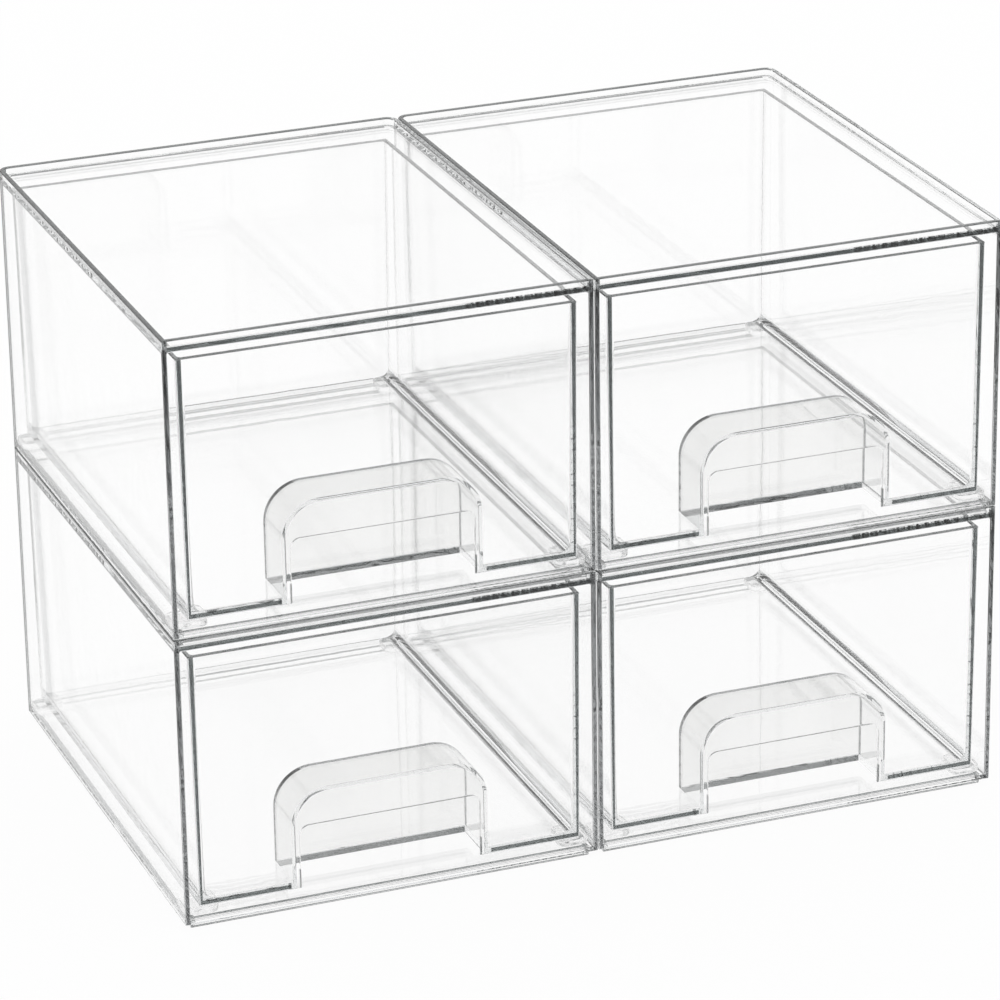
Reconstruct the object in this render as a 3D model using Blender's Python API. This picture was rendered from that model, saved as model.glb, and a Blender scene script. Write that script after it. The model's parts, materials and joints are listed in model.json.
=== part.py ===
"""Four clear stackable drawer boxes, two columns wide and two rows high.

Each box is a casing that is open at the front, a drawer with a finger pocket moulded into its front, and
four soft pads in the casing's bottom corners that the drawer slides on. A hollow foot ring under each casing
nests inside the rim of the casing below. Metres, +Z up, the drawers open towards -Y. The origin is the middle
of the stack's footprint, at the level that the lower foot rings stand on.
"""

import math

import bmesh
import bpy

# Stack
columns = 2
rows = 2
column_gap = 0.0003
seat_clearance = 0.0003

# Casing, its height from the foot of its walls to the top of its rim
casing_width = 0.1700
casing_depth = 0.2193
casing_height = 0.1188
casing_wall = 0.0021
casing_corner_radius = 0.0050
floor_plate_thickness = 0.0021
top_plate_thickness = 0.0021
rim_height = 0.0027
nest_clearance = 0.00085
foot_ring_thickness = 0.0018

# Pads in the casing's bottom corners
pad_size = 0.0125
pad_corner_radius = 0.0030
pad_height = 0.0029
pad_side_gap = 0.0004
pad_back_gap = 0.0024

# Drawer and the gaps that it keeps inside its casing. The side gap is the one at the rim, and each side leans
# in by the taper from there to the foot
drawer_side_gap = 0.0037
drawer_side_taper = 0.0009
drawer_front_recess = 0.0028
drawer_back_gap = 0.0041
drawer_head_gap = 0.0039
drawer_wall = 0.0018
drawer_floor_thickness = 0.0025
drawer_corner_radius = 0.0005
drawer_inner_corner_radius = 0.0015
drawer_side_fillet = 0.0040
drawer_end_fillet = 0.0008
drawer_foot_round = 0.0008

# Finger pocket: an arched hood behind the drawer's front, with a lower mouth cut in the front
pocket_width = 0.0803
pocket_height = 0.0410
pocket_depth = 0.0238
pocket_corner_radius = 0.0155
pocket_wall = 0.00155
pocket_back_round = 0.0006
mouth_width = 0.0739
mouth_height = 0.0262
mouth_corner_radius = 0.0040

# How far a cutter runs past what it cuts, and the smallest radius that an inset corner keeps
overrun = 0.0020
least_radius = 0.0002

# Points along a quarter turn
casing_corner_steps = 6
drawer_corner_steps = 4
fillet_steps = 5
foot_round_steps = 2
pocket_corner_steps = 10
pocket_back_steps = 2
mouth_corner_steps = 5
pad_corner_steps = 4

# Heights and levels inside one box, from the foot of the casing's walls
row_pitch = casing_height + seat_clearance
column_pitch = casing_width + column_gap
top_plate_top = casing_height - rim_height
top_plate_underside = top_plate_top - top_plate_thickness
foot_drop = rim_height
pad_base = floor_plate_thickness + seat_clearance
drawer_base = pad_base + pad_height + seat_clearance

# Outer sizes of the drawer, its width at the rim
drawer_width = casing_width - 2 * (casing_wall + drawer_side_gap)
drawer_depth = casing_depth - casing_wall - drawer_front_recess - drawer_back_gap
drawer_height = top_plate_underside - drawer_head_gap - drawer_base


def quarter_turn(steps):
    """Angles of a quarter turn, both ends included."""
    return [math.pi / 2 * step / steps for step in range(steps + 1)]


def plan_outline(width, front, back, front_radius, back_radius, steps, inset=0.0):
    """Rounded rectangle seen from above, anticlockwise from its front left corner.

    Every corner has the same number of points, so that outlines of unlike radius can be lofted.
    """
    half = width / 2 - inset
    corners = (
        (-half, front + inset, front_radius, math.pi),
        (half, front + inset, front_radius, 1.5 * math.pi),
        (half, back - inset, back_radius, 0.0),
        (-half, back - inset, back_radius, 0.5 * math.pi),
    )
    points = []
    for x, y, radius, start in corners:
        radius = max(radius - inset, least_radius)
        centre_x = x - math.copysign(radius, x)
        centre_y = y + (radius if y == front + inset else -radius)
        for angle in quarter_turn(steps):
            points.append(
                (centre_x + radius * math.cos(start + angle), centre_y + radius * math.sin(start + angle))
            )
    return points


def arch_outline(width, foot, crown, radius, steps, inset=0.0):
    """Arch seen from the front, clockwise from its lower left corner: square feet and round shoulders."""
    half = width / 2 - inset
    top = crown - inset
    radius = max(radius - inset, least_radius)
    points = [(-half, foot)]
    for angle in quarter_turn(steps):
        points.append((-half + radius - radius * math.cos(angle), top - radius + radius * math.sin(angle)))
    for angle in quarter_turn(steps):
        points.append((half - radius + radius * math.sin(angle), top - radius + radius * math.cos(angle)))
    points.append((half, foot))
    return points


def loft(name, sections):
    """Closed mesh through sections with the same number of points, its first and last section capped."""
    mesh = bmesh.new()
    rings = [[mesh.verts.new(point) for point in section] for section in sections]
    count = len(rings[0])
    for lower, upper in zip(rings, rings[1:]):
        for i in range(count):
            j = (i + 1) % count
            mesh.faces.new((lower[i], lower[j], upper[j], upper[i]))
    mesh.faces.new(rings[0][::-1])
    mesh.faces.new(rings[-1])
    bmesh.ops.recalc_face_normals(mesh, faces=mesh.faces)
    data = bpy.data.meshes.new(name)
    mesh.to_mesh(data)
    mesh.free()
    return data


def level(outline, z):
    return [(x, y, z) for x, y in outline]


def upright(outline, y):
    return [(x, y, z) for x, z in outline]


def prism(name, outline, low, high):
    """Plan outline raised from one height to another."""
    return loft(name, [level(outline, low), level(outline, high)])


def combined(name, base, *steps):
    """Mesh of a base joined with, or cut by, other meshes in turn: each step is (operation, mesh)."""
    holder = bpy.data.objects.new(name, base)
    bpy.context.scene.collection.objects.link(holder)
    tools = []
    for operation, mesh in steps:
        tool = bpy.data.objects.new(mesh.name, mesh)
        tool.hide_render = True
        tool.display_type = "WIRE"
        bpy.context.scene.collection.objects.link(tool)
        modifier = holder.modifiers.new(mesh.name, "BOOLEAN")
        modifier.operation = operation
        modifier.solver = "EXACT"
        modifier.object = tool
        tools.append(tool)
    bpy.context.view_layer.update()
    evaluated = holder.evaluated_get(bpy.context.evaluated_depsgraph_get())
    result = bpy.data.meshes.new_from_object(evaluated)
    result.name = name
    for helper in [holder, *tools]:
        bpy.data.objects.remove(helper)
    return result


def shade(mesh, material):
    """Smooth shading on the rounds, with the real edges kept sharp."""
    mesh.shade_smooth()
    mesh.set_sharp_from_angle(angle=math.radians(30))
    mesh.materials.clear()
    mesh.materials.append(material)
    return mesh


def clear_material(name, color, roughness, transmission, ior):
    material = bpy.data.materials.new(name)
    material.use_nodes = True
    shader = material.node_tree.nodes["Principled BSDF"]
    shader.inputs["Base Color"].default_value = (*color, 1.0)
    shader.inputs["Metallic"].default_value = 0.0
    shader.inputs["Roughness"].default_value = roughness
    shader.inputs["Transmission Weight"].default_value = transmission
    shader.inputs["IOR"].default_value = ior
    return material


def casing_mesh():
    """Shell, open at the front, about the middle of its footprint and the foot of its walls."""
    front = -casing_depth / 2
    back = casing_depth / 2

    def plan(inset, width=casing_width, low=front, front_radius=0.0):
        return plan_outline(width, low, back, front_radius, casing_corner_radius, casing_corner_steps, inset)

    shell = prism("casing", plan(0.0), 0.0, casing_height)

    foot_inset = casing_wall + nest_clearance
    foot = prism("foot", plan(foot_inset), -foot_drop, floor_plate_thickness / 2)
    hollow = prism("foot_hollow", plan(foot_inset + foot_ring_thickness), -foot_drop - overrun, 0.0)

    bay_outline = plan(casing_wall, low=front - casing_wall - overrun)
    bay = prism("drawer_bay", bay_outline, floor_plate_thickness, top_plate_underside)
    recess = prism("top_recess", plan(casing_wall), top_plate_top, casing_height + overrun)

    return combined(
        "casing",
        shell,
        ("UNION", foot),
        ("DIFFERENCE", hollow),
        ("DIFFERENCE", bay),
        ("DIFFERENCE", recess),
    )


def tray_sections(front, back):
    """Sections of the drawer's tray: up its outside, over its rim and down its inside to the floor.

    The floor meets the sides in a large fillet, and the front and back in a small one.
    """

    def width_at(z):
        return drawer_width - 2 * drawer_side_taper * (1 - z / drawer_height)

    def outside(inset, z):
        radius = drawer_corner_radius
        return level(plan_outline(width_at(z), front, back, radius, radius, drawer_corner_steps, inset), z)

    def filled(rise, radius):
        """How far a fillet of that radius stands out from its wall at that height above the floor."""
        if rise >= radius:
            return 0.0
        return radius - math.sqrt(rise * (2 * radius - rise))

    def inside(rise):
        z = drawer_floor_thickness + rise
        half = width_at(z) / 2 - drawer_wall - filled(rise, drawer_side_fillet)
        end = drawer_wall + filled(rise, drawer_end_fillet)
        radius = drawer_inner_corner_radius
        return level(plan_outline(2 * half, front + end, back - end, radius, radius, drawer_corner_steps), z)

    rises = set()
    for radius in (drawer_side_fillet, drawer_end_fillet):
        for angle in quarter_turn(fillet_steps):
            rises.add(radius * (1 - math.sin(angle)))

    sections = []
    for angle in quarter_turn(foot_round_steps):
        inset = drawer_foot_round * (1 - math.sin(angle))
        sections.append(outside(inset, drawer_foot_round * (1 - math.cos(angle))))
    sections.append(outside(0.0, drawer_height))
    sections.append(inside(drawer_height - drawer_floor_thickness))
    for rise in sorted(rises, reverse=True):
        sections.append(inside(rise))
    return sections


def pocket_sections(start, end, foot, inset, back_round):
    """Sections of the pocket's arch along the depth, drawn in round its back edge."""

    def section(extra, y):
        outline = arch_outline(
            pocket_width, foot, pocket_height, pocket_corner_radius, pocket_corner_steps, inset + extra
        )
        return upright(outline, y)

    sections = [section(0.0, start)]
    for angle in quarter_turn(pocket_back_steps):
        sections.append(section(back_round * (1 - math.cos(angle)), end - back_round * (1 - math.sin(angle))))
    return sections


def drawer_mesh():
    """Tray with the finger pocket, about the middle of the lower edge of its front."""
    front = 0.0
    back = drawer_depth
    tray = loft("drawer", tray_sections(front, back))

    hood_foot = drawer_floor_thickness / 2
    hood = loft("hood", pocket_sections(drawer_wall / 2, pocket_depth, hood_foot, 0.0, pocket_back_round))
    cavity_round = max(pocket_back_round - pocket_wall, least_radius)
    cavity = loft(
        "finger_room",
        pocket_sections(drawer_wall, pocket_depth - pocket_wall, -overrun, pocket_wall, cavity_round),
    )
    mouth_outline = arch_outline(
        mouth_width, -overrun, mouth_height, mouth_corner_radius, mouth_corner_steps
    )
    mouth = loft(
        "mouth", [upright(mouth_outline, -overrun), upright(mouth_outline, drawer_wall + overrun)]
    )
    return combined("drawer", tray, ("UNION", hood), ("DIFFERENCE", cavity), ("DIFFERENCE", mouth))


def pad_mesh():
    """Pad with rounded corners, about the middle of its underside."""
    half = pad_size / 2
    outline = plan_outline(pad_size, -half, half, pad_corner_radius, pad_corner_radius, pad_corner_steps)
    return prism("pad", outline, 0.0, pad_height)


def place(name, mesh, location, parent=None):
    piece = bpy.data.objects.new(name, mesh)
    piece.location = location
    piece.parent = parent
    bpy.context.scene.collection.objects.link(piece)
    return piece


def pad_places():
    """Corner name and place of each pad on its casing's floor."""
    side = casing_width / 2 - casing_wall - pad_side_gap - pad_size / 2
    near = -casing_depth / 2 + drawer_front_recess + pad_size / 2
    far = casing_depth / 2 - casing_wall - pad_back_gap - pad_size / 2
    return {
        "front_left": (-side, near, pad_base),
        "front_right": (side, near, pad_base),
        "back_left": (-side, far, pad_base),
        "back_right": (side, far, pad_base),
    }


def build_stack():
    acrylic = clear_material("clear_acrylic", (0.93, 0.95, 0.95), 0.03, 0.95, 1.49)
    silicone = clear_material("clear_silicone", (0.90, 0.91, 0.91), 0.25, 0.85, 1.41)
    casing = shade(casing_mesh(), acrylic)
    drawer = shade(drawer_mesh(), acrylic)
    pad = shade(pad_mesh(), silicone)

    column_names = ("left", "right")
    row_names = ("lower", "upper")
    first_column_x = -column_pitch * (columns - 1) / 2
    drawer_y = -casing_depth / 2 + drawer_front_recess
    for column in range(columns):
        for row in range(rows):
            box = f"{row_names[row]}_{column_names[column]}"
            place_of_box = (first_column_x + column * column_pitch, 0.0, foot_drop + row * row_pitch)
            shell = place(f"casing_{box}", casing, place_of_box)
            place(f"drawer_{box}", drawer, (0.0, drawer_y, drawer_base), shell)
            for corner, spot in pad_places().items():
                place(f"pad_{box}_{corner}", pad, spot, shell)


def clear_scene():
    for obj in list(bpy.data.objects):
        bpy.data.objects.remove(obj)


clear_scene()
build_stack()
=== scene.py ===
import json
import math

import bmesh
import bpy
from mathutils import Matrix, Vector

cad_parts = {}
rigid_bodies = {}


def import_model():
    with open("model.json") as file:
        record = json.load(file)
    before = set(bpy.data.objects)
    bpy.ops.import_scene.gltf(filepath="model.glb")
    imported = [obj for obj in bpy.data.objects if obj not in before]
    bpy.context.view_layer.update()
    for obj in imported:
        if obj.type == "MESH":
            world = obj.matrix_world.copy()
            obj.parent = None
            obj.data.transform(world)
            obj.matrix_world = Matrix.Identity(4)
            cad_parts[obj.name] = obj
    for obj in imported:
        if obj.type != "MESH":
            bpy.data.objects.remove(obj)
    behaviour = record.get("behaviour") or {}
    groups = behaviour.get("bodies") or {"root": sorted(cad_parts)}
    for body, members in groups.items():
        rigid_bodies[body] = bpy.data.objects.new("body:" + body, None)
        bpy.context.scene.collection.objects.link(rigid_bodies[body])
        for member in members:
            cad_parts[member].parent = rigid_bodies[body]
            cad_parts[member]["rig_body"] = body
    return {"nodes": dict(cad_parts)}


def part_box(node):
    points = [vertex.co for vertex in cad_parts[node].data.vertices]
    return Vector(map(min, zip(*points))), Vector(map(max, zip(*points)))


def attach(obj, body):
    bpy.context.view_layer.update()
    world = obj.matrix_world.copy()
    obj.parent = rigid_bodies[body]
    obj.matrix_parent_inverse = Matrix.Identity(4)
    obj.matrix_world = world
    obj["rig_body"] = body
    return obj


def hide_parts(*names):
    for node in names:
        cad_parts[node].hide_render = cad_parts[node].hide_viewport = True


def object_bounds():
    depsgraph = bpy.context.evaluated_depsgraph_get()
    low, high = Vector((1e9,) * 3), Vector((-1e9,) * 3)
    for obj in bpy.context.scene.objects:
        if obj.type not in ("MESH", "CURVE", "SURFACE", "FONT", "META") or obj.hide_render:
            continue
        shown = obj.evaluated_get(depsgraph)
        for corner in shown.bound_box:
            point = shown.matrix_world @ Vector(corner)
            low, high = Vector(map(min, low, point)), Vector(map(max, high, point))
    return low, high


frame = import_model()
cad_low, cad_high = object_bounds()

# The photograph's view: where the camera stands, which way it looks and how long its lens is
CAMERA_PLACE = (-0.66292, -1.75409, 0.87202)
CAMERA_AZIMUTH = math.radians(-20.772)
CAMERA_ELEVATION = math.radians(22.110)
CAMERA_ROLL = math.radians(-0.895)
SENSOR_WIDTH = 36.0
FOCAL_PIXELS = 5013.5
PHOTO_PIXELS = 1000.0

# Casing
CASING_WALL = 0.0021
CASING_BACK_RADIUS = 0.0050
CASING_FRONT_RADIUS = 0.0004
FLOOR_PLATE = 0.0021
TOP_PLATE = 0.0021
RIM_HEIGHT = 0.0027
NEST_CLEARANCE = 0.00085
FOOT_RING = 0.0018
EDGE_ROUND = 0.0004
INNER_FILLET = 0.0004
BAY_FILLET = 0.0006
# Width and turns of the corner strips painted dark as lines of painted shade
CORNER_LINE = 0.0012
OUTER_LINE_TURN = math.radians(25)
INNER_LINE_TURN = math.radians(50)

# Drawer
DRAWER_WALL = 0.0018
DRAWER_FLOOR = 0.0025
DRAWER_CORNER_RADIUS = 0.0005
DRAWER_INNER_RADIUS = 0.0015
DRAWER_SIDE_FILLET = 0.0040
DRAWER_END_FILLET = 0.0008
DRAWER_TAPER = 0.0009
DRAWER_FOOT_ROUND = 0.0008
DRAWER_RIM_ROUND = 0.0005

# Finger pocket
POCKET_WIDTH = 0.0803
POCKET_HEIGHT = 0.0410
POCKET_DEPTH = 0.0238
POCKET_RADIUS = 0.0155
POCKET_WALL = 0.00155
POCKET_BACK_ROUND = 0.0006
MOUTH_WIDTH = 0.0739
MOUTH_HEIGHT = 0.0262
MOUTH_RADIUS = 0.0040
LIP_ROUND = 0.0004
PAST_POCKET = 0.0010
# Length of the strip at the hood's back and height of the lip's foot, both painted dark as lines of painted
# shade
POCKET_LINE = 0.0018
LIP_FOOT = 0.0080

# Pads
PAD_RADIUS = 0.0030
PAD_EDGE_ROUND = 0.0006

# How finely curves are drawn, in steps to a quarter turn
EDGE_STEPS = 4
BAY_STEPS = 4
BAY_BACK_STEPS = 12
CASING_PLAN_STEPS = 16
DRAWER_PLAN_STEPS = 6
SIDE_FILLET_STEPS = 10
END_FILLET_STEPS = 6
POCKET_STEPS = 24
POCKET_BACK_STEPS = 6
MOUTH_STEPS = 10
PAD_STEPS = 8

OVERRUN = 0.0020
LEAST_RADIUS = 0.0002
SHARP_ANGLE = math.radians(32)
NEARLY = 0.00001
CUT_TOLERANCE = 1e-7

# Plastic
ACRYLIC_IOR = 1.49
SILICONE_IOR = 1.41
ACRYLIC_ROUGHNESS = (0.0, 0.012)
SILICONE_ROUGHNESS = (0.06, 0.14)
SMUDGES_PER_METRE = (60.0, 60.0, 60.0)
WAVES_PER_METRE = (45.0, 45.0, 45.0)
SILICONE_GRAIN_PER_METRE = (900.0, 900.0, 900.0)
ABSORPTION_COLOR = (0.897, 0.902, 0.903)
ABSORPTION_DENSITY = 10.0
LAMP_TINT = (0.98, 0.985, 0.985)
WHITE = (1.0, 1.0, 1.0)

# Studio
FLOOR_HALF_SIZE = 4.0
FLOOR_DROP = 0.0001
FLOOR_TONE = 0.9
FLOOR_GLOW_SHARE = 0.96
LIGHT_PATH_LIMIT = 60

# Material slots of a moulding: faces, rims and lines, ends of plates, ends of walls, and the pocket; all but
# the first are painted shade, tinted dark or grey in place of the dark bands and lines that clear plastic
# shows at its edges
CLEAR, PAINTED_SHADE_LINE, PAINTED_SHADE_PLATE_END, PAINTED_SHADE_WALL_END, PAINTED_SHADE_POCKET = range(5)


# ---------------------------------------------------------------- outlines and lofts


def quarter_turn(steps):
    return [math.pi / 2 * step / steps for step in range(steps + 1)]


def plan_outline(width, front, back, front_radius, back_radius, steps, inset=0.0):
    """Rounded rectangle seen from above, anticlockwise from its front left corner."""
    half = width / 2 - inset
    low = front + inset
    high = back - inset
    corners = (
        (-half, low, front_radius, math.pi),
        (half, low, front_radius, 1.5 * math.pi),
        (half, high, back_radius, 0.0),
        (-half, high, back_radius, 0.5 * math.pi),
    )
    points = []
    for x, y, radius, start in corners:
        radius = max(radius - inset, LEAST_RADIUS)
        centre_x = x - math.copysign(radius, x)
        centre_y = y + (radius if y == low else -radius)
        for angle in quarter_turn(steps):
            turned = start + angle
            points.append((centre_x + radius * math.cos(turned), centre_y + radius * math.sin(turned)))
    return points


def arch_outline(width, foot, crown, radius, steps, inset=0.0):
    """Arch seen from the front, from its lower left corner over the crown to its lower right corner."""
    half = width / 2 - inset
    top = crown - inset
    radius = max(radius - inset, LEAST_RADIUS)
    points = [(-half, foot)]
    for angle in quarter_turn(steps):
        points.append((-half + radius - radius * math.cos(angle), top - radius + radius * math.sin(angle)))
    for angle in quarter_turn(steps):
        points.append((half - radius + radius * math.sin(angle), top - radius + radius * math.cos(angle)))
    points.append((half, foot))
    return points


def convex(inset, flat, radius, rising):
    """(inset, height) along a rounded edge, from the flat at that level to the upright at that inset.

    rising is 1 where the upright goes up from the flat, and -1 where it goes down from it.
    """
    return [
        (inset + radius * (1 - math.sin(angle)), flat + rising * radius * (1 - math.cos(angle)))
        for angle in quarter_turn(EDGE_STEPS)
    ]


def concave(inset, flat, radius, rising):
    """(inset, height) along a hollow corner, from the flat outside that inset to the upright at it."""
    return [
        (inset - radius * (1 - math.sin(angle)), flat + rising * radius * (1 - math.cos(angle)))
        for angle in quarter_turn(EDGE_STEPS)
    ]


def level(outline, z):
    return [(x, y, z) for x, y in outline]


def upright(outline, y):
    return [(x, y, z) for x, z in outline]


def add_rings(mesh, sections):
    return [[mesh.verts.new(point) for point in section] for section in sections]


def join_rings(mesh, lower, upper, skip=()):
    count = len(lower)
    for i in range(count):
        if i not in skip:
            j = (i + 1) % count
            mesh.faces.new((lower[i], lower[j], upper[j], upper[i]))


def lies_on(face, axis, value):
    return all(abs(v.co[axis] - value) < NEARLY for v in face.verts)


def divide(mesh, faces, axis, value):
    """Divides faces along the plane on which that axis has that value."""
    edges = dict.fromkeys(e for f in faces for e in f.edges)
    verts = dict.fromkeys(v for f in faces for v in f.verts)
    point = [0.0, 0.0, 0.0]
    normal = [0.0, 0.0, 0.0]
    point[axis] = value
    normal[axis] = 1.0
    bmesh.ops.bisect_plane(
        mesh, geom=[*faces, *edges, *verts], dist=CUT_TOLERANCE, plane_co=point, plane_no=normal
    )


def slice_flat(mesh, flat_axis, flat_value, planes):
    """Divides the faces on a flat along planes, each (axis, value), so that strips can be told apart."""
    for axis, value in planes:
        divide(mesh, [f for f in mesh.faces if lies_on(f, flat_axis, flat_value)], axis, value)


def finished(mesh, name):
    bmesh.ops.recalc_face_normals(mesh, faces=mesh.faces)
    data = bpy.data.meshes.new(name)
    mesh.to_mesh(data)
    mesh.free()
    return data


def loft(name, sections):
    mesh = bmesh.new()
    rings = add_rings(mesh, sections)
    for lower, upper in zip(rings, rings[1:]):
        join_rings(mesh, lower, upper)
    mesh.faces.new(rings[0][::-1])
    mesh.faces.new(rings[-1])
    return finished(mesh, name)


# ---------------------------------------------------------------- casing


def casing_profile(height):
    """(inset, height) of the shell's skin, from the sunk top plate over the rim and down to the foot ring."""
    foot_inset = CASING_WALL + NEST_CLEARANCE
    ring_inner = foot_inset + FOOT_RING
    plate = height - RIM_HEIGHT
    drop = -RIM_HEIGHT

    profile = [(CASING_WALL, plate)]
    rim_inner = [(2 * CASING_WALL - i, z) for i, z in convex(CASING_WALL, height, EDGE_ROUND, -1)]
    profile += rim_inner[::-1]
    profile += convex(0.0, height, EDGE_ROUND, -1)
    profile += convex(0.0, 0.0, EDGE_ROUND, 1)[::-1]
    profile += concave(foot_inset, 0.0, INNER_FILLET, -1)
    profile += convex(foot_inset, drop, EDGE_ROUND, 1)[::-1]
    ring_edge = [(2 * ring_inner - i, z) for i, z in convex(ring_inner, drop, EDGE_ROUND, 1)]
    profile += ring_edge
    ring_root = [(2 * ring_inner - i, z) for i, z in concave(ring_inner, 0.0, INNER_FILLET, -1)]
    profile += ring_root[::-1]
    return profile


def bay_outline(half, low, high, radius, steps, grow=0.0):
    """The drawer bay seen from the front, anticlockwise from its lower left corner."""
    half += grow
    low -= grow
    high += grow
    radius = max(radius + grow, LEAST_RADIUS)
    corners = (
        (-half, low, math.pi),
        (half, low, 1.5 * math.pi),
        (half, high, 0.0),
        (-half, high, 0.5 * math.pi),
    )
    points = []
    for x, z, start in corners:
        centre_x = x - math.copysign(radius, x)
        centre_z = z + (radius if z == low else -radius)
        for angle in quarter_turn(steps):
            turned = start + angle
            points.append((centre_x + radius * math.cos(turned), centre_z + radius * math.sin(turned)))
    return points


def in_corner_line(centre, width, back):
    """Whether a face is in one of the two upright strips that show as lines in the back left corner, strips
    painted dark as lines of painted shade.
    """
    x = centre.x + width / 2
    y = back - centre.y
    if y > CASING_BACK_RADIUS:
        return x < NEARLY and y < CASING_BACK_RADIUS + CORNER_LINE
    if x > CASING_BACK_RADIUS:
        return False
    away = math.hypot(CASING_BACK_RADIUS - x, CASING_BACK_RADIUS - y)
    turn = math.atan2(CASING_BACK_RADIUS - y, CASING_BACK_RADIUS - x)
    outside = away > CASING_BACK_RADIUS - CASING_WALL / 2
    return turn < (OUTER_LINE_TURN if outside else INNER_LINE_TURN)


def in_bay_edge(face, half, inner_back):
    """Whether a face near the bay's head is in the hollow corner along its sides or the strip at its back,
    where a line of painted shade goes.
    """
    beside = abs(face.calc_center_median().x)
    return lies_on(face, 1, inner_back) or half - BAY_FILLET < beside < half - NEARLY


def casing_mesh(width, depth, height, with_painted_corner_lines):
    """Shell, open at the front, about the middle of its footprint and the foot of its walls."""
    front = -depth / 2
    back = depth / 2
    mesh = bmesh.new()

    sections = []
    for inset, z in casing_profile(height):
        outline = plan_outline(
            width, front, back, CASING_FRONT_RADIUS, CASING_BACK_RADIUS, CASING_PLAN_STEPS, inset
        )
        sections.append(level(outline, z))
    rings = add_rings(mesh, sections)

    front_side = CASING_PLAN_STEPS
    open_front = None
    for lower, upper in zip(rings, rings[1:]):
        rise = abs(lower[0].co.z - upper[0].co.z)
        if rise > height / 2:
            join_rings(mesh, lower, upper, skip=(front_side,))
            open_front = (lower, upper)
        else:
            join_rings(mesh, lower, upper)
    mesh.faces.new(rings[0])
    mesh.faces.new(rings[-1][::-1])

    top, bottom = open_front
    frame_corners = (
        bottom[front_side],
        bottom[front_side + 1],
        top[front_side + 1],
        top[front_side],
    )

    half = width / 2 - CASING_WALL
    low = FLOOR_PLATE
    high = height - RIM_HEIGHT - TOP_PLATE
    bay_sections = []
    for angle in quarter_turn(EDGE_STEPS):
        grow = EDGE_ROUND * (1 - math.sin(angle))
        y = front + EDGE_ROUND * (1 - math.cos(angle))
        bay_sections.append(upright(bay_outline(half, low, high, BAY_FILLET, BAY_STEPS, grow), y))
    inner_back = back - CASING_WALL
    turn = CASING_BACK_RADIUS - CASING_WALL
    for angle in quarter_turn(BAY_BACK_STEPS):
        narrower = half - turn * (1 - math.cos(angle))
        y = inner_back - turn * (1 - math.sin(angle))
        bay_sections.append(upright(bay_outline(narrower, low, high, BAY_FILLET, BAY_STEPS), y))
    bay = add_rings(mesh, bay_sections)
    for lower, upper in zip(bay, bay[1:]):
        join_rings(mesh, lower, upper)
    mesh.faces.new(bay[-1])

    mouth = bay[0]
    count = BAY_STEPS + 1
    middle = BAY_STEPS // 2
    for side in range(4):
        following = (side + 1) % 4
        edge = [mouth[(side * count + k) % len(mouth)] for k in range(middle, count + middle + 1)]
        mesh.faces.new([frame_corners[side], frame_corners[following], *edge[::-1]])

    slice_flat(mesh, 1, front, ((0, -half), (0, half), (2, low), (2, high), (2, height - RIM_HEIGHT)))
    slice_flat(mesh, 0, -width / 2, ((1, back - CASING_BACK_RADIUS - CORNER_LINE),))
    slice_flat(mesh, 1, inner_back, ((2, high - BAY_FILLET),))
    # Most of the top rim, the plate ends, the strips along the bay's head, the corner lines and the front
    # ends of the walls take the slots of painted shade, which paint dark bands and lines on them
    for face in mesh.faces:
        centre = face.calc_center_median()
        if centre.z > height - EDGE_ROUND:
            face.material_index = CLEAR if centre.x > half else PAINTED_SHADE_LINE
        elif centre.z < EDGE_ROUND - RIM_HEIGHT:
            face.material_index = PAINTED_SHADE_PLATE_END
        elif high - BAY_FILLET < centre.z < high - NEARLY and in_bay_edge(face, half, inner_back):
            face.material_index = PAINTED_SHADE_LINE
        elif with_painted_corner_lines and in_corner_line(centre, width, back):
            face.material_index = PAINTED_SHADE_PLATE_END
        elif lies_on(face, 1, front):
            if abs(centre.x) > half:
                face.material_index = PAINTED_SHADE_WALL_END
            elif high < centre.z < height - RIM_HEIGHT:
                face.material_index = PAINTED_SHADE_PLATE_END
    return finished(mesh, "casing_moulding")


# ---------------------------------------------------------------- drawer


def combined(name, base, *steps):
    """Mesh of a base joined with, or cut by, other meshes in turn."""
    holder = bpy.data.objects.new(name, base)
    bpy.context.scene.collection.objects.link(holder)
    tools = []
    for operation, mesh in steps:
        tool = bpy.data.objects.new(mesh.name, mesh)
        bpy.context.scene.collection.objects.link(tool)
        modifier = holder.modifiers.new(mesh.name, "BOOLEAN")
        modifier.operation = operation
        modifier.solver = "EXACT"
        modifier.object = tool
        tools.append(tool)
    bpy.context.view_layer.update()
    evaluated = holder.evaluated_get(bpy.context.evaluated_depsgraph_get())
    result = bpy.data.meshes.new_from_object(evaluated)
    result.name = name
    for helper in [holder, *tools]:
        bpy.data.objects.remove(helper)
    return result


def filled(rise, radius):
    """How far a fillet of that radius stands out from its wall at that height above the floor."""
    if rise >= radius:
        return 0.0
    return radius - math.sqrt(rise * (2 * radius - rise))


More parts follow.
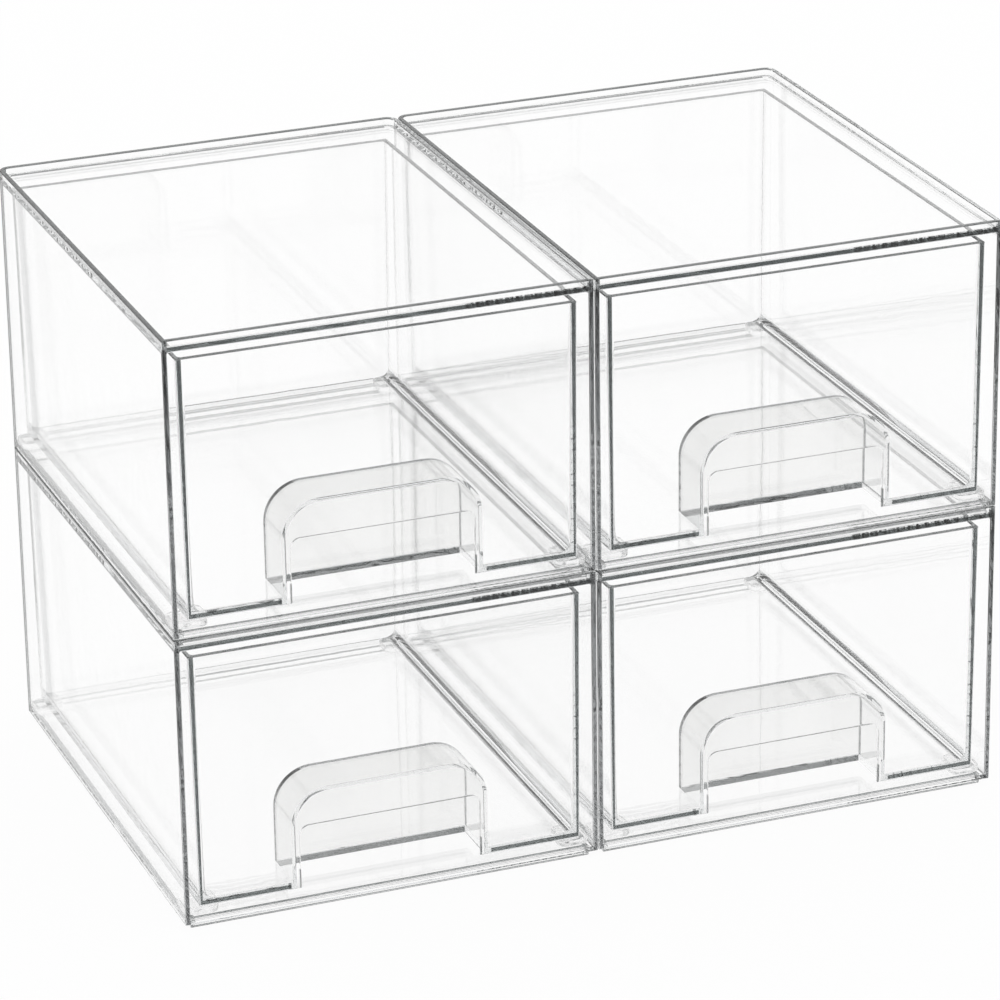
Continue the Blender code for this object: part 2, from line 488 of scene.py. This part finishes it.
def tray_sections(width, depth, height):
    """Sections of the tray: up its outside, over its rim and down its inside to the floor."""

    def width_at(z):
        return width - 2 * DRAWER_TAPER * (1 - z / height)

    def outside(inset, z):
        radius = DRAWER_CORNER_RADIUS
        return level(plan_outline(width_at(z), 0.0, depth, radius, radius, DRAWER_PLAN_STEPS, inset), z)

    def inside(z, wider=0.0):
        rise = z - DRAWER_FLOOR
        half = width_at(z) / 2 - DRAWER_WALL - filled(rise, DRAWER_SIDE_FILLET) + wider
        end = DRAWER_WALL + filled(rise, DRAWER_END_FILLET) - wider
        radius = DRAWER_INNER_RADIUS + wider
        outline = plan_outline(2 * half, end, depth - end, radius, radius, DRAWER_PLAN_STEPS)
        return level(outline, z)

    levels = set()
    for fillet, steps in ((DRAWER_SIDE_FILLET, SIDE_FILLET_STEPS), (DRAWER_END_FILLET, END_FILLET_STEPS)):
        levels |= {DRAWER_FLOOR + fillet * (1 - math.sin(angle)) for angle in quarter_turn(steps)}

    sections = []
    for inset, z in convex(0.0, 0.0, DRAWER_FOOT_ROUND, 1):
        sections.append(outside(inset, z))
    rim = convex(0.0, height, DRAWER_RIM_ROUND, -1)
    for inset, z in rim[::-1]:
        sections.append(outside(inset, z))
    for inset, z in rim:
        sections.append(inside(z, inset))
    for z in sorted(levels, reverse=True):
        sections.append(inside(z))
    return sections


def pocket_sections(start, end, foot, inset, back_round):
    def section(extra, y):
        outline = arch_outline(
            POCKET_WIDTH, foot, POCKET_HEIGHT, POCKET_RADIUS, POCKET_STEPS, inset + extra
        )
        return upright(outline, y)

    sections = [section(0.0, start)]
    for angle in quarter_turn(POCKET_BACK_STEPS):
        extra = back_round * (1 - math.cos(angle))
        sections.append(section(extra, end - back_round * (1 - math.sin(angle))))
    return sections


def mouth_sections():
    """Sections of the mouth's cutter, which widens towards both faces of the front and so rounds the lip."""

    def section(wider, y):
        outline = arch_outline(MOUTH_WIDTH, -OVERRUN, MOUTH_HEIGHT, MOUTH_RADIUS, MOUTH_STEPS, -wider)
        return upright(outline, y)

    sections = [section(LIP_ROUND, -OVERRUN)]
    for angle in quarter_turn(EDGE_STEPS):
        sections.append(section(LIP_ROUND * (1 - math.sin(angle)), LIP_ROUND * (1 - math.cos(angle))))
    for angle in quarter_turn(EDGE_STEPS)[::-1]:
        y = DRAWER_WALL - LIP_ROUND * (1 - math.cos(angle))
        sections.append(section(LIP_ROUND * (1 - math.sin(angle)), y))
    sections.append(section(LIP_ROUND, DRAWER_WALL + OVERRUN))
    return sections


def outside_pocket(centre):
    """Whether a face's centre is on the outside of the pocket's arch, ahead of its flat back."""
    if not DRAWER_WALL + NEARLY < centre.y < POCKET_DEPTH - NEARLY or centre.z < DRAWER_FLOOR + NEARLY:
        return False
    half = POCKET_WIDTH / 2
    past_x = abs(centre.x) - (half - POCKET_RADIUS)
    past_z = centre.z - (POCKET_HEIGHT - POCKET_RADIUS)
    middle = POCKET_WALL / 2
    if past_x > 0 and past_z > 0:
        return POCKET_RADIUS - middle < math.hypot(past_x, past_z) < POCKET_RADIUS + NEARLY
    on_side = half - middle < abs(centre.x) < half + NEARLY
    return on_side or POCKET_HEIGHT - middle < centre.z < POCKET_HEIGHT + NEARLY


def beside_mouth(centre):
    """Whether a face's centre is as far to the side as the mouth's sides are."""
    return abs(abs(centre.x) - MOUTH_WIDTH / 2) < LIP_ROUND + NEARLY


def on_lip_foot(centre):
    """Whether a face's centre is in the lowest part of the mouth's sides, inside the front."""
    return beside_mouth(centre) and NEARLY < centre.y < DRAWER_WALL - NEARLY and centre.z < LIP_FOOT


def drawer_mesh(width, depth, height):
    """Tray with the finger pocket, about the middle of the lower edge of its front."""
    tray = loft("tray", tray_sections(width, depth, height))
    hood = loft(
        "hood",
        pocket_sections(DRAWER_WALL / 2, POCKET_DEPTH, DRAWER_FLOOR / 2, 0.0, POCKET_BACK_ROUND),
    )
    cavity = loft(
        "finger_room",
        pocket_sections(DRAWER_WALL, POCKET_DEPTH - POCKET_WALL, -OVERRUN, POCKET_WALL, LEAST_RADIUS),
    )
    mouth = loft("mouth", mouth_sections())
    cuts = (("UNION", hood), ("DIFFERENCE", cavity), ("DIFFERENCE", mouth))
    moulding = combined("drawer_moulding", tray, *cuts)

    mesh = bmesh.new()
    mesh.from_mesh(moulding)
    half = width / 2 - DRAWER_WALL - DRAWER_TAPER / 2
    beside_pocket = POCKET_WIDTH / 2 + PAST_POCKET
    finger_wall = POCKET_DEPTH - POCKET_WALL
    planes = ((0, -half), (0, half), (0, -beside_pocket), (0, beside_pocket), (2, DRAWER_FLOOR))
    slice_flat(mesh, 1, 0.0, planes)
    slice_flat(mesh, 1, finger_wall, ((2, DRAWER_FLOOR),))
    divide(mesh, [f for f in mesh.faces if beside_mouth(f.calc_center_median())], 2, LIP_FOOT)
    line_start = POCKET_DEPTH - POCKET_BACK_ROUND - POCKET_LINE
    divide(mesh, [f for f in mesh.faces if outside_pocket(f.calc_center_median())], 1, line_start)
    # Rims, plate ends, the lip's foot, the finger wall's foot and a strip at the back of the hood take the
    # slots of painted shade, painted dark as lines; the rest of the hood's outside and its back take the
    # pocket's painted grey shade
    for face in mesh.faces:
        centre = face.calc_center_median()
        face.material_index = CLEAR
        if centre.z > height - DRAWER_RIM_ROUND:
            face.material_index = PAINTED_SHADE_LINE
        elif lies_on(face, 1, 0.0) and abs(centre.x) > (beside_pocket if centre.z < DRAWER_FLOOR else half):
            face.material_index = PAINTED_SHADE_PLATE_END
        elif on_lip_foot(centre) or (lies_on(face, 1, finger_wall) and centre.z < DRAWER_FLOOR):
            face.material_index = PAINTED_SHADE_LINE
        elif outside_pocket(centre):
            face.material_index = PAINTED_SHADE_LINE if centre.y > line_start else PAINTED_SHADE_POCKET
        elif lies_on(face, 1, finger_wall) or lies_on(face, 1, POCKET_DEPTH):
            face.material_index = PAINTED_SHADE_POCKET
    return finished(mesh, "drawer_moulding")


# ---------------------------------------------------------------- pads


def pad_mesh(size, height):
    half = size / 2
    sections = []
    foot = convex(0.0, 0.0, PAD_EDGE_ROUND, 1)
    crown = convex(0.0, height, PAD_EDGE_ROUND, -1)[::-1]
    for inset, z in foot + crown:
        outline = plan_outline(size, -half, half, PAD_RADIUS, PAD_RADIUS, PAD_STEPS, inset)
        sections.append(level(outline, z))
    return loft("pad_moulding", sections)


# ---------------------------------------------------------------- materials


def principled(material):
    return material.node_tree.nodes["Principled BSDF"]


def lets_lamps_through(material, tint):
    """Puts a Transparent shader in for rays from lamps, so that light reaches what is behind the plastic."""
    tree = material.node_tree
    output = tree.nodes["Material Output"]
    shader = principled(material)
    rays = tree.nodes.new("ShaderNodeLightPath")
    through = tree.nodes.new("ShaderNodeBsdfTransparent")
    through.inputs["Color"].default_value = (*tint, 1.0)
    mix = tree.nodes.new("ShaderNodeMixShader")
    tree.links.new(rays.outputs["Is Shadow Ray"], mix.inputs["Fac"])
    tree.links.new(shader.outputs["BSDF"], mix.inputs[1])
    tree.links.new(through.outputs["BSDF"], mix.inputs[2])
    tree.links.new(mix.outputs["Shader"], output.inputs["Surface"])


def absorbs(material, color, density):
    tree = material.node_tree
    volume = tree.nodes.new("ShaderNodeVolumeAbsorption")
    volume.inputs["Color"].default_value = (*color, 1.0)
    volume.inputs["Density"].default_value = density
    tree.links.new(volume.outputs["Volume"], tree.nodes["Material Output"].inputs["Volume"])


def grain(tree, stretch, detail):
    """Noise over a piece's own surface, its fineness given per metre along each axis."""
    place = tree.nodes.new("ShaderNodeTexCoord")
    scaled = tree.nodes.new("ShaderNodeMapping")
    scaled.inputs["Scale"].default_value = stretch
    noise = tree.nodes.new("ShaderNodeTexNoise")
    noise.inputs["Scale"].default_value = 1.0
    noise.inputs["Detail"].default_value = detail
    tree.links.new(place.outputs["Object"], scaled.inputs["Vector"])
    tree.links.new(scaled.outputs["Vector"], noise.inputs["Vector"])
    return noise.outputs["Fac"]


def spread(tree, value, low, high):
    """Maps the middle of a noise's range to the range from low to high."""
    ranged = tree.nodes.new("ShaderNodeMapRange")
    ranged.inputs["From Min"].default_value = 0.3
    ranged.inputs["From Max"].default_value = 0.7
    ranged.inputs["To Min"].default_value = low
    ranged.inputs["To Max"].default_value = high
    tree.links.new(value, ranged.inputs["Value"])
    return ranged.outputs["Result"]


def waviness(material, stretch, strength, distance):
    tree = material.node_tree
    bump = tree.nodes.new("ShaderNodeBump")
    bump.inputs["Strength"].default_value = strength
    bump.inputs["Distance"].default_value = distance
    tree.links.new(grain(tree, stretch, 2.0), bump.inputs["Height"])
    tree.links.new(bump.outputs["Normal"], principled(material).inputs["Normal"])


def streaks(material, stretch, dark, light):
    """Tones a cut face in streaks, as the light led along inside a wall comes out of it."""
    tree = material.node_tree
    ramp = tree.nodes.new("ShaderNodeValToRGB")
    ramp.color_ramp.elements[0].position = 0.35
    ramp.color_ramp.elements[0].color = (*dark, 1.0)
    ramp.color_ramp.elements[1].position = 0.65
    ramp.color_ramp.elements[1].color = (*light, 1.0)
    tree.links.new(grain(tree, stretch, 3.0), ramp.inputs["Fac"])
    tree.links.new(ramp.outputs["Color"], principled(material).inputs["Base Color"])


def clear_plastic(name, color, roughness, ior):
    material = bpy.data.materials.new(name)
    material.use_nodes = True
    shader = principled(material)
    shader.inputs["Base Color"].default_value = (*color, 1.0)
    uneven = spread(material.node_tree, grain(material.node_tree, SMUDGES_PER_METRE, 4.0), *roughness)
    material.node_tree.links.new(uneven, shader.inputs["Roughness"])
    shader.inputs["IOR"].default_value = ior
    shader.inputs["Transmission Weight"].default_value = 1.0
    lets_lamps_through(material, LAMP_TINT)
    return material


def make_plastics():
    """The acrylic's materials, one to a slot, and the silicone; the rim, plate end, wall end and pocket
    materials are painted shade, dark or grey tints in streaks.
    """
    acrylic = []
    # The dark and pale grey tints below are painted shade for the rims, lines, ends and pocket, not the
    # plastic's own colour
    for name, dark, light, stretch in (
        ("clear_acrylic", WHITE, WHITE, None),
        ("acrylic_rim_painted_shade", (0.09, 0.095, 0.095), (0.15, 0.155, 0.155), (40.0, 40.0, 40.0)),
        ("acrylic_plate_end_painted_shade", (0.02, 0.025, 0.025), (0.06, 0.068, 0.068), (12.0, 400.0, 700.0)),
        ("acrylic_wall_end_painted_shade", (0.07, 0.073, 0.076), (0.17, 0.175, 0.178), (900.0, 400.0, 18.0)),
        ("acrylic_pocket_painted_shade", (0.89, 0.89, 0.885), (0.93, 0.93, 0.925), (30.0, 30.0, 30.0)),
    ):
        plastic = clear_plastic(name, dark, ACRYLIC_ROUGHNESS, ACRYLIC_IOR)
        if stretch:
            streaks(plastic, stretch, dark, light)
        waviness(plastic, WAVES_PER_METRE, 0.08, 0.0004)
        absorbs(plastic, ABSORPTION_COLOR, ABSORPTION_DENSITY)
        acrylic.append(plastic)
    silicone = clear_plastic("clear_silicone", (0.97, 0.97, 0.97), SILICONE_ROUGHNESS, SILICONE_IOR)
    waviness(silicone, SILICONE_GRAIN_PER_METRE, 0.15, 0.0001)
    return acrylic, silicone


# ---------------------------------------------------------------- pieces


def add_piece(mesh, node, body, location):
    piece = bpy.data.objects.new(f"{node}_moulding", mesh)
    piece.location = location
    bpy.context.scene.collection.objects.link(piece)
    weighted = piece.modifiers.new("even_normals", "WEIGHTED_NORMAL")
    weighted.mode = "FACE_AREA"
    weighted.weight = 100
    weighted.keep_sharp = True
    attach(piece, body)
    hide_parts(node)
    return piece


def shaded(mesh, materials):
    mesh.shade_smooth()
    mesh.set_sharp_from_angle(angle=SHARP_ANGLE)
    indices = [polygon.material_index for polygon in mesh.polygons]
    mesh.materials.clear()
    for material in materials:
        mesh.materials.append(material)
    mesh.polygons.foreach_set("material_index", indices)
    return mesh


def build_pieces(acrylic, silicone):
    meshes = {}
    for name, node in frame["nodes"].items():
        low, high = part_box(name)
        size = high - low
        kind = name.split("_")[0]
        with_painted_corner_lines = kind == "casing" and name.endswith("left")
        if (kind, with_painted_corner_lines) not in meshes:
            if kind == "casing":
                mesh = casing_mesh(size.x, size.y, size.z - RIM_HEIGHT, with_painted_corner_lines)
            elif kind == "drawer":
                mesh = drawer_mesh(size.x, size.y, size.z)
            else:
                mesh = pad_mesh(size.x, size.z)
            meshes[kind, with_painted_corner_lines] = shaded(mesh, [silicone] if kind == "pad" else acrylic)
        middle = (low + high) / 2
        place = {
            "casing": (middle.x, middle.y, low.z + RIM_HEIGHT),
            "drawer": (middle.x, low.y, low.z),
            "pad": (middle.x, middle.y, low.z),
        }[kind]
        add_piece(meshes[kind, with_painted_corner_lines], name, node["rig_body"], place)


# ---------------------------------------------------------------- studio


def build_world():
    world = bpy.data.worlds.new("studio")
    bpy.context.scene.world = world
    world.use_nodes = True
    background = world.node_tree.nodes["Background"]
    background.inputs["Color"].default_value = (*WHITE, 1.0)
    background.inputs["Strength"].default_value = 1.0


def build_floor():
    mesh = bmesh.new()
    bmesh.ops.create_grid(mesh, x_segments=1, y_segments=1, size=FLOOR_HALF_SIZE)
    data = bpy.data.meshes.new("studio_floor")
    mesh.to_mesh(data)
    mesh.free()
    floor = bpy.data.objects.new("studio_floor", data)
    floor.location = (0.0, 0.0, cad_low[2] - FLOOR_DROP)
    bpy.context.scene.collection.objects.link(floor)
    material = bpy.data.materials.new("floor_paper")
    material.use_nodes = True
    tree = material.node_tree
    shader = principled(material)
    shader.inputs["Base Color"].default_value = (FLOOR_TONE, FLOOR_TONE, FLOOR_TONE, 1.0)
    shader.inputs["Roughness"].default_value = 1.0
    shader.inputs["Specular IOR Level"].default_value = 0.0
    glow = tree.nodes.new("ShaderNodeEmission")
    glow.inputs["Color"].default_value = (*WHITE, 1.0)
    glow.inputs["Strength"].default_value = 1.0
    rays = tree.nodes.new("ShaderNodeLightPath")
    seen = rays.outputs["Is Camera Ray"]
    for kind in ("Is Glossy Ray", "Is Transmission Ray"):
        either = tree.nodes.new("ShaderNodeMath")
        either.operation = "MAXIMUM"
        tree.links.new(seen, either.inputs[0])
        tree.links.new(rays.outputs[kind], either.inputs[1])
        seen = either.outputs[0]
    share = tree.nodes.new("ShaderNodeMath")
    share.operation = "MULTIPLY"
    share.inputs[1].default_value = FLOOR_GLOW_SHARE
    mix = tree.nodes.new("ShaderNodeMixShader")
    tree.links.new(seen, share.inputs[0])
    tree.links.new(share.outputs[0], mix.inputs["Fac"])
    tree.links.new(shader.outputs["BSDF"], mix.inputs[1])
    tree.links.new(glow.outputs["Emission"], mix.inputs[2])
    tree.links.new(mix.outputs["Shader"], tree.nodes["Material Output"].inputs["Surface"])
    floor.data.materials.append(material)


def build_camera():
    data = bpy.data.cameras.new("photo_camera")
    data.sensor_fit = "HORIZONTAL"
    data.sensor_width = SENSOR_WIDTH
    data.lens = FOCAL_PIXELS / PHOTO_PIXELS * SENSOR_WIDTH
    camera = bpy.data.objects.new("photo_camera", data)
    turn = Matrix.Rotation(CAMERA_AZIMUTH, 4, "Z")
    tilt = Matrix.Rotation(math.pi / 2 - CAMERA_ELEVATION, 4, "X")
    roll = Matrix.Rotation(CAMERA_ROLL, 4, "Z")
    camera.matrix_world = Matrix.Translation(CAMERA_PLACE) @ turn @ tilt @ roll
    bpy.context.scene.collection.objects.link(camera)
    bpy.context.scene.camera = camera


def set_light_paths():
    cycles = bpy.context.scene.cycles
    cycles.max_bounces = 64
    cycles.transmission_bounces = LIGHT_PATH_LIMIT
    cycles.glossy_bounces = LIGHT_PATH_LIMIT
    cycles.transparent_max_bounces = 48
    bpy.context.scene.view_settings.view_transform = "Standard"


acrylic, silicone = make_plastics()
build_pieces(acrylic, silicone)
build_world()
build_floor()
build_camera()
set_light_paths()
